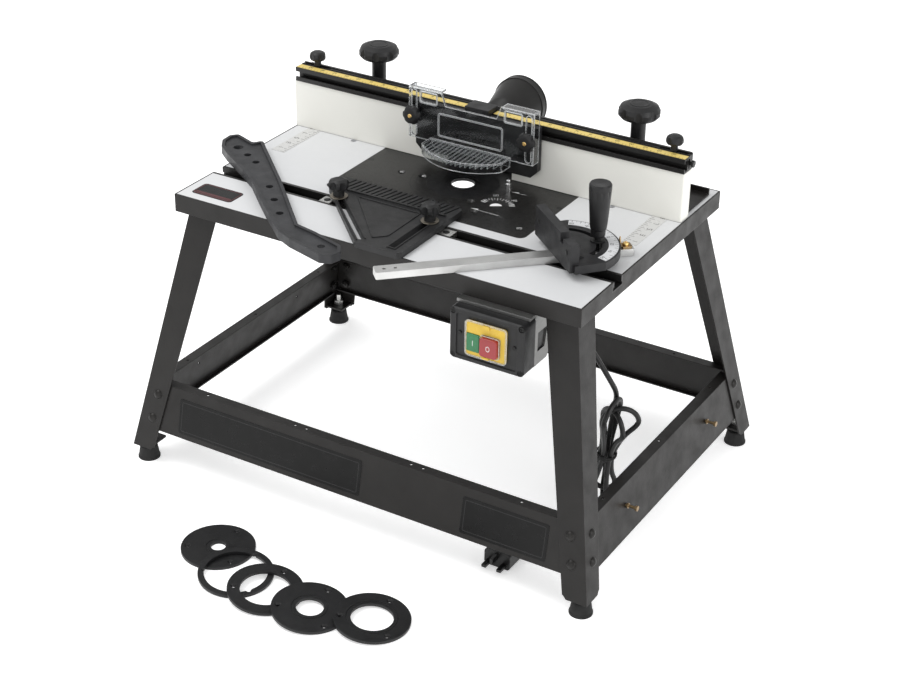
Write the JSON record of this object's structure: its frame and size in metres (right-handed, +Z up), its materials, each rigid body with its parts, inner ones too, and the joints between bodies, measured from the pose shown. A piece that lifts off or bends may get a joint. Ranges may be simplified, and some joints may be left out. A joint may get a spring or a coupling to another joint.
{
  "type": "router table",
  "caption": "Benchtop router table with splayed steel legs, a split fence with clear guard and dust port, a featherboard, mitre gauge, push stick, safety switch and spare insert rings.",
  "frame": {"origin": "on the floor under the middle of the set's footprint: the table, its fence and the spare rings in front of it", "axes": "+Z up, +X to the right along the table's front, +Y to the back, towards the fence"},
  "size_m": [0.717, 0.7231, 0.5236],
  "materials": {
    "black_steel": "satin powder coat",
    "laminate": "matte laminate over fibreboard",
    "track_alu": "extruded, black anodised",
    "plate_alu": "dark anodised, machined",
    "screw_black": "black oxide",
    "ring_plastic": "moulded",
    "pin_steel": "turned",
    "bolt_black": "black zinc",
    "rubber": "matte",
    "zinc": "bright zinc",
    "brass": "turned",
    "bracket_grey": "zinc plated sheet",
    "switch_black": "moulded",
    "switch_yellow": "moulded",
    "mechanism": "moulded",
    "button_green": "moulded",
    "button_red": "moulded",
    "cord_pvc": "matte sheath",
    "tie": "twist tie",
    "fence_black": "black anodised extrusion",
    "port_plastic": "moulded",
    "cheek_white": "white laminate over fibreboard",
    "knob_plastic": "moulded",
    "clear": "clear polycarbonate",
    "board_plastic": "moulded",
    "bar_grey": "extruded, satin",
    "head_grey": "moulded",
    "stick_grey": "moulded"
  },
  "bodies": {
    "stand": {"table_top": "laminate", "edge_frame": "black_steel", "mitre_track": "track_alu", "insert_plate": "plate_alu", "insert_screws": "screw_black", "insert_ring": "ring_plastic", "lead_on_pin": "pin_steel", "leg_front_left": "black_steel", "leg_front_right": "black_steel", "leg_rear_left": "black_steel", "leg_rear_right": "black_steel", "rail_front": "black_steel", "rail_rear": "black_steel", "rail_left": "black_steel", "rail_right": "black_steel", "leg_fasteners": "bolt_black", "rubber_feet": "rubber", "foot_studs": "zinc", "storage_screws": "brass", "switch_bracket": "bracket_grey", "switch_box": "switch_black", "switch_cover": "switch_black", "switch_plate": "switch_yellow", "switch_screws": "screw_black", "switch_mechanism": "mechanism", "cord_gland": "switch_black", "cord_runs": "cord_pvc", "cord_hank": "cord_pvc", "hank_tie": "tie", "plug": "cord_pvc"},
    "start_button": {"start_button": "button_green"},
    "stop_button": {"stop_button": "button_red"},
    "fence": {"fence_bracket": "black_steel", "fence_extrusion": "fence_black", "dust_port": "port_plastic", "guard_bracket": "board_plastic"},
    "fence_clamp_left": {"fence_clamp_left": "knob_plastic"},
    "fence_clamp_right": {"fence_clamp_right": "knob_plastic"},
    "cheek_left": {"fence_cheek_left": "cheek_white"},
    "cheek_right": {"fence_cheek_right": "cheek_white"},
    "top_knob_left": {"top_knob_left": "knob_plastic"},
    "top_knob_right": {"top_knob_right": "knob_plastic"},
    "guard": {"clear_guard": "clear"},
    "guard_knob_left": {"guard_knob_left": "knob_plastic"},
    "guard_knob_right": {"guard_knob_right": "knob_plastic"},
    "feather_anchor": {"t_bolt_right": "zinc"},
    "featherboard": {"featherboard": "board_plastic"},
    "feather_follower": {"t_bolt_left": "zinc"},
    "feather_knob_left": {"feather_knob_left": "knob_plastic"},
    "feather_knob_right": {"feather_knob_right": "knob_plastic"},
    "gauge": {"gauge_bar": "bar_grey", "gauge_pivot": "zinc"},
    "gauge_head": {"gauge_head": "head_grey"},
    "gauge_handle": {"gauge_handle": "knob_plastic"},
    "push_stick": {"push_stick": "stick_grey"},
    "spare_ring_1": {"spare_ring_1": "ring_plastic"},
    "spare_ring_2": {"spare_ring_2": "ring_plastic"},
    "spare_ring_3": {"spare_ring_3": "ring_plastic"},
    "spare_ring_4": {"spare_ring_4": "ring_plastic"},
    "spare_ring_5": {"spare_ring_5": "ring_plastic"}
  },
  "joints": [
    {"name": "fence_slide", "type": "slide", "parent": "stand", "child": "fence", "axis": [0, 1, 0], "range_m": [-0.016, 0.02]},
    {"name": "fence_clamp_left_turn", "type": "hinge", "parent": "stand", "child": "fence_clamp_left", "pos_m": [-0.2025, 0.2495, 0.45], "axis": [0, 0, 1], "continuous": true},
    {"name": "cheek_left_slide", "type": "slide", "parent": "fence", "child": "cheek_left", "axis": [1, 0, 0], "range_m": [-0.018, 0.018]},
    {"name": "top_knob_left_turn", "type": "hinge", "parent": "cheek_left", "child": "top_knob_left", "pos_m": [-0.2755, 0.2042, 0.495], "axis": [0, 0, 1], "continuous": true},
    {"name": "fence_clamp_right_turn", "type": "hinge", "parent": "stand", "child": "fence_clamp_right", "pos_m": [0.2025, 0.2495, 0.45], "axis": [0, 0, 1], "continuous": true},
    {"name": "cheek_right_slide", "type": "slide", "parent": "fence", "child": "cheek_right", "axis": [1, 0, 0], "range_m": [-0.018, 0.018]},
    {"name": "top_knob_right_turn", "type": "hinge", "parent": "cheek_right", "child": "top_knob_right", "pos_m": [0.2755, 0.2042, 0.495], "axis": [0, 0, 1], "continuous": true},
    {"name": "guard_slide", "type": "slide", "parent": "fence", "child": "guard", "axis": [0, 0, 1], "range_m": [-0.012, 0.026]},
    {"name": "guard_knob_left_turn", "type": "hinge", "parent": "fence", "child": "guard_knob_left", "pos_m": [-0.088, 0.1665, 0.475], "axis": [0, 1, 0], "continuous": true},
    {"name": "guard_knob_right_turn", "type": "hinge", "parent": "fence", "child": "guard_knob_right", "pos_m": [0.088, 0.1665, 0.475], "axis": [0, 1, 0], "continuous": true},
    {"name": "feather_anchor_slide", "type": "slide", "parent": "stand", "child": "feather_anchor", "axis": [1, 0, 0], "range_m": [-0.06, 0.02]},
    {"name": "featherboard_slide", "type": "slide", "parent": "feather_anchor", "child": "featherboard", "axis": [0, 1, 0], "range_m": [-0.0005, 0.07]},
    {"name": "feather_follower_slide", "type": "slide", "parent": "feather_anchor", "child": "feather_follower", "axis": [1, 0, 0], "range_m": [-0.0006, 0.073]},
    {"name": "feather_knob_right_turn", "type": "hinge", "parent": "feather_anchor", "child": "feather_knob_right", "pos_m": [0.034, 0.0015, 0.42], "axis": [0, 0, 1], "continuous": true},
    {"name": "feather_knob_left_turn", "type": "hinge", "parent": "feather_follower", "child": "feather_knob_left", "pos_m": [-0.1056, 0.0015, 0.42], "axis": [0, 0, 1], "continuous": true},
    {"name": "gauge_lift", "type": "slide", "parent": "stand", "child": "gauge", "axis": [0, 0, 1], "range_m": [0, 0.1]},
    {"name": "gauge_swivel", "type": "hinge", "parent": "gauge", "child": "gauge_head", "pos_m": [0.2218, 0.014, 0.415], "axis": [0, 0, 1], "range_deg": [-60, 50]},
    {"name": "gauge_handle_turn", "type": "hinge", "parent": "gauge", "child": "gauge_handle", "pos_m": [0.25186, 0.04333, 0.45], "axis": [0, 0, 1], "continuous": true},
    {"name": "push_stick_lift", "type": "slide", "parent": "stand", "child": "push_stick", "axis": [0, 0, 1], "range_m": [0, 0.1]},
    {"name": "start_press", "type": "slide", "parent": "stand", "child": "start_button", "axis": [0, 1, 0], "range_m": [0, 0.002], "stiffness_N_per_m": 400},
    {"name": "stop_press", "type": "slide", "parent": "stand", "child": "stop_button", "axis": [0, 1, 0], "range_m": [0, 0.003], "stiffness_N_per_m": 400},
    {"name": "spare_ring_1_lift", "type": "slide", "parent": "stand", "child": "spare_ring_1", "axis": [0, 0, 1], "range_m": [0, 0.05]},
    {"name": "spare_ring_2_lift", "type": "slide", "parent": "spare_ring_1", "child": "spare_ring_2", "axis": [0, 0, 1], "range_m": [0, 0.05]},
    {"name": "spare_ring_3_lift", "type": "slide", "parent": "spare_ring_2", "child": "spare_ring_3", "axis": [0, 0, 1], "range_m": [0, 0.05]},
    {"name": "spare_ring_4_lift", "type": "slide", "parent": "spare_ring_3", "child": "spare_ring_4", "axis": [0, 0, 1], "range_m": [0, 0.05]},
    {"name": "spare_ring_5_lift", "type": "slide", "parent": "spare_ring_4", "child": "spare_ring_5", "axis": [0, 0, 1], "range_m": [0, 0.05]}
  ],
  "couplings": [
    {"joint": "feather_follower_slide", "follows": "featherboard_slide", "ratio": 1.035}
  ]
}
